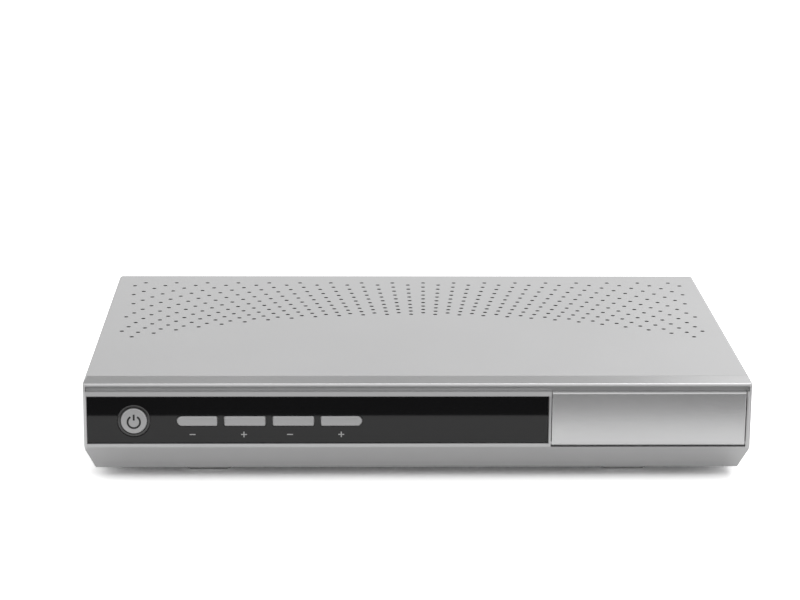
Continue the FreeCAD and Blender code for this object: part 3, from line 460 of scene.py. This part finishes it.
def finish_piece(obj, body, finish, smooth_angle=None):
    obj.data.materials.append(finish)
    if smooth_angle is not None:
        bm = bmesh.new()
        bm.from_mesh(obj.data)
        bmesh.ops.recalc_face_normals(bm, faces=bm.faces)
        bm.to_mesh(obj.data)
        bm.free()
        obj.data.shade_smooth()
        obj.data.set_sharp_from_angle(angle=math.radians(smooth_angle))
    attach(obj, body)
    return obj


rear_y = cover_high.y
antenna_places = ((-99.0 * mm, 20.4 * mm), (-81.0 * mm, 20.4 * mm))
antenna_start = -2.0     # the millimetres of the profiles count from the rear face
antenna_end = 11.0
antenna_root = 4.42
antenna_crest = 4.76
thread_start = 1.9
thread_pitch = 0.79
insulator_radius = 3.5


def antenna_threads(materials):
    profile = [(antenna_start, 4.4), (1.75, 4.4)]
    along = thread_start
    while along + thread_pitch < antenna_end - 0.5:
        profile += [(along, antenna_root), (along + 0.32 * thread_pitch, antenna_crest),
                    (along + 0.5 * thread_pitch, antenna_crest),
                    (along + 0.82 * thread_pitch, antenna_root)]
        along += thread_pitch
    profile += [(antenna_end - 0.4, antenna_root), (antenna_end, 4.25), (antenna_end, 3.55),
                (antenna_end - 0.6, insulator_radius), (antenna_end - 0.8, insulator_radius)]
    profile = [(a * mm, radius * mm) for a, radius in profile]
    places = [(x, rear_y, z) for x, z in antenna_places]
    shell = lathe("antenna_threads", profile, 40, places, (0, 1, 0))
    finish_piece(shell, housing, materials["socket_nickel"], 25)
    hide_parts("antenna_sockets")
    profile = [(antenna_end - 0.9, 3.45), (antenna_end - 0.62, 3.45), (antenna_end - 0.55, 3.3),
               (antenna_end - 0.55, 1.2), (antenna_end - 0.75, 0.8), (antenna_end - 0.85, 0.8)]
    profile = [(a * mm, radius * mm) for a, radius in profile]
    plug = lathe("antenna_insulators", profile, 32, places, (0, 1, 0))
    finish_piece(plug, housing, materials["insert_white"], 35)
    # Near-black disc at the bottom of the centre hole of each insulator: painted shade for the depth of
    # the hole
    profile = [(antenna_end - 0.9, 0.62), (antenna_end - 0.84, 0.62), (antenna_end - 0.84, 0.3)]
    profile = [(a * mm, radius * mm) for a, radius in profile]
    hole = lathe("antenna_hole_painted_shade", profile, 20, places, (0, 1, 0))
    finish_piece(hole, housing, materials["socket_black"])


screw_profile = ((-0.2, 1.4), (0.0, 2.7), (0.35, 2.74), (0.9, 2.5), (1.35, 1.95), (1.62, 1.2),
                 (1.7, 0.45))
cross_length = 1.7
cross_width = 0.42
cross_depths = ((1.45, 0.8), (1.74, 1.0))    # height on the head and share of the length
head_steps = 28
rear_screws = ((-112.0, 35.1), (0.0, 35.1), (112.0, 35.1))
side_screw = (125.75, 51.75, 18.3)


def cover_screw_heads(materials):
    profile = [(a * mm, radius * mm) for a, radius in screw_profile]
    rear = [(x * mm, rear_y, z * mm) for x, z in rear_screws]
    heads = lathe("screw_heads_rear", profile, head_steps, rear, (0, 1, 0))
    finish_piece(heads, housing, materials["screw_steel"], 50)
    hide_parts("cover_screws")
    x, y, z = (value * mm for value in side_screw)
    for name, side in (("left", -1), ("right", 1)):
        head = lathe(f"screw_head_{name}", profile, head_steps, [(side * x, y, z)], (side, 0, 0))
        finish_piece(head, housing, materials["screw_steel"], 50)
        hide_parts("cover_screws")
    # The cross recesses are solid near-black shapes that fill the hollow of each head: painted shade in
    # the recess
    vertices, faces = [], []
    sinks = [(Vector(place), Vector((0, 1, 0))) for place in rear]
    sinks += [(Vector((side * x, y, z)), Vector((side, 0, 0))) for side in (-1, 1)]
    for place, out in sinks:
        up = Vector((0, 0, 1))
        flat = out.cross(up)
        for long_way, short_way in ((up, flat), (flat, up)):
            first = len(vertices)
            for depth, share in cross_depths:
                reach = cross_length * share
                for a, b in ((-1, -1), (1, -1), (1, 1), (-1, 1)):
                    vertices.append(place + out * (depth * mm) + long_way * (a * reach / 2 * mm)
                                    + short_way * (b * cross_width / 2 * mm))
            quads = ((0, 1, 5, 4), (1, 2, 6, 5), (2, 3, 7, 6), (3, 0, 4, 7), (4, 5, 6, 7))
            faces += [tuple(first + i for i in quad) for quad in quads]
    cross = mesh_object("screw_cross_painted_shade", vertices, faces)
    finish_piece(cross, housing, materials["ink_and_painted_shade"])


# Top cover with round vent holes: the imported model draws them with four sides

vent_radius = 0.90
vent_sides = 16
vent_columns = 24        # steps of half a column on each side of the middle
vent_rows = 9
vent_angle = 0.05
vent_arc_radius = 199.0
vent_arc_front = 98.0
vent_back_pitch = 13.33
vent_back = 150.2
vent_spread = 0.03
vent_border = 8.0
cover_sheet = 0.8
cover_bend = 1.5
bend_steps = 10
flange_height = 7.0


def vent_places():
    """Centres of the vent holes in millimetres: a fan of columns that run out from an arc."""
    last = vent_rows - 0.5
    stretch = last + vent_spread * last ** 2
    for step in range(-vent_columns, vent_columns + 1):
        column = step / 2
        angle = vent_angle * column
        start = Vector((vent_arc_radius * math.sin(angle),
                        vent_arc_front - vent_arc_radius * (1 - math.cos(angle))))
        end = Vector((vent_back_pitch * column, vent_back))
        for row in range(vent_rows):
            place = row + (step % 2) / 2
            share = (place + vent_spread * place ** 2) / stretch
            centre = start + (end - start) * share
            if abs(centre.x) < cover_high.x / mm - vent_border:
                yield centre.x, front_y / mm + centre.y


def vent_plate(half, start, end, top):
    """Flat top of the cover: upper and lower face, and the wall of each hole."""
    points = [Vector((-half, start)), Vector((half, start)), Vector((half, end)), Vector((-half, end))]
    edges = [(0, 1), (1, 2), (2, 3), (3, 0)]
    owner = [-1] * 4
    rings = []
    for index, (x, y) in enumerate(vent_places()):
        first = len(points)
        ring = [first + i for i in range(vent_sides)]
        for i in range(vent_sides):
            a = 2 * math.pi * i / vent_sides
            points.append(Vector((x + vent_radius * math.cos(a), y + vent_radius * math.sin(a))))
            owner.append(index)
        edges += list(zip(ring, ring[1:] + ring[:1]))
        rings.append(ring)
    flat, _, triangles, origins, _, _ = delaunay_2d_cdt(points, edges, [], 0, 1e-6)
    owners = [owner[origin[0]] for origin in origins]
    kept = [t for t in triangles if len({owners[i] for i in t}) > 1 or owners[t[0]] == -1]
    count = len(flat)
    vertices = [(p.x, p.y, top) for p in flat] + [(p.x, p.y, top - cover_sheet) for p in flat]
    faces = [tuple(t) for t in kept]
    faces += [tuple(i + count for i in reversed(t)) for t in kept]
    now = {origin[0]: i for i, origin in enumerate(origins)}
    for ring in rings:
        loop = [now[i] for i in ring]
        for a, b in zip(loop, loop[1:] + loop[:1]):
            faces.append((a, b, b + count, a + count))
    return (vertices, faces), rings


def cover_side(side, half, start, end, top, low):
    """Bend and side wall, from the flat top down to the lower edge."""
    outer, inner = [], []
    for i in range(bend_steps + 1):
        a = math.pi / 2 * i / bend_steps
        for line, radius in ((outer, cover_bend), (inner, cover_bend - cover_sheet)):
            line.append((side * (half - cover_bend + radius * math.sin(a)),
                         top - cover_bend + radius * math.cos(a)))
    outer.append((side * half, low))
    inner.append((side * (half - cover_sheet), low))
    loop = outer + inner[::-1]
    count = len(loop)
    vertices = [(x, y, z) for y in (start, end) for x, z in loop]
    faces = [(i, i + 1, i + 1 + count, i + count) for i in range(count - 1)]
    for first in (0, count):
        faces += [(first + i, first + i + 1, first + count - 2 - i, first + count - 1 - i)
                  for i in range(len(outer) - 1)]
    return vertices, faces


def rear_flange(half, end, top):
    """Flange that the cover screws go through, below the rear edge of the top."""
    inner = half - cover_sheet
    radius = cover_bend - cover_sheet
    loop = [(-inner, top - flange_height), (inner, top - flange_height)]
    for side in (1, -1):
        arc = [(side * (inner - radius + radius * math.cos(math.pi / 2 * i / bend_steps)),
                top - cover_bend + radius * math.sin(math.pi / 2 * i / bend_steps))
               for i in range(bend_steps + 1)]
        loop += arc if side > 0 else arc[::-1]
    count = len(loop)
    vertices = [(x, y, z) for y in (end, end - cover_sheet) for x, z in loop]
    faces = [tuple(range(count)), tuple(range(2 * count - 1, count - 1, -1)),
             (0, count, count + 1, 1)]
    return vertices, faces


def vent_cover(materials):
    half, top, low = cover_high.x / mm, top_z / mm, cover_low.z / mm
    start, end = cover_low.y / mm, cover_high.y / mm
    plate, rings = vent_plate(half - cover_bend, start, end, top)
    sheets = [plate, rear_flange(half, end, top)]
    sheets += [cover_side(side, half, start, end, top, low) for side in (-1, 1)]
    for edge, flip in ((start, 1), (end, -1)):
        inner = half - cover_bend
        corners = [(-inner, edge, top - cover_sheet), (inner, edge, top - cover_sheet),
                   (inner, edge, top), (-inner, edge, top)]
        sheets.append((corners, [(0, 1, 2, 3)[::flip]]))
    vertices, faces = [], []
    for points, polygons in sheets:
        first = len(vertices)
        vertices += [Vector(p) * mm for p in points]
        faces += [tuple(first + i for i in polygon) for polygon in polygons]
    cover = mesh_object("cover_sheet", vertices, faces)
    finish_piece(cover, housing, materials["cover_paint"], 25)
    # The walls of the vent holes take the dark edge finish: bare cut metal, with painted shade inside the
    # holes
    cover.data.materials.append(materials["bare_edge_and_hole_shade"])
    walls = len(rings) * vent_sides
    last = len(sheets[0][1])
    for polygon in cover.data.polygons[last - walls:last]:
        polygon.material_index = 1
    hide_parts("top_cover")


bpy.context.scene.view_settings.view_transform = "Standard"
add_camera()
add_stage()
add_world()
add_light("top_soft", light_place, (0, 0, 0), light_size, light_power)
materials = make_materials()
nonmetallic_strip(materials["fascia_silver"])
dress_nodes(materials)
power_symbol(materials)
window_signs(materials)
antenna_threads(materials)
cover_screw_heads(materials)
vent_cover(materials)
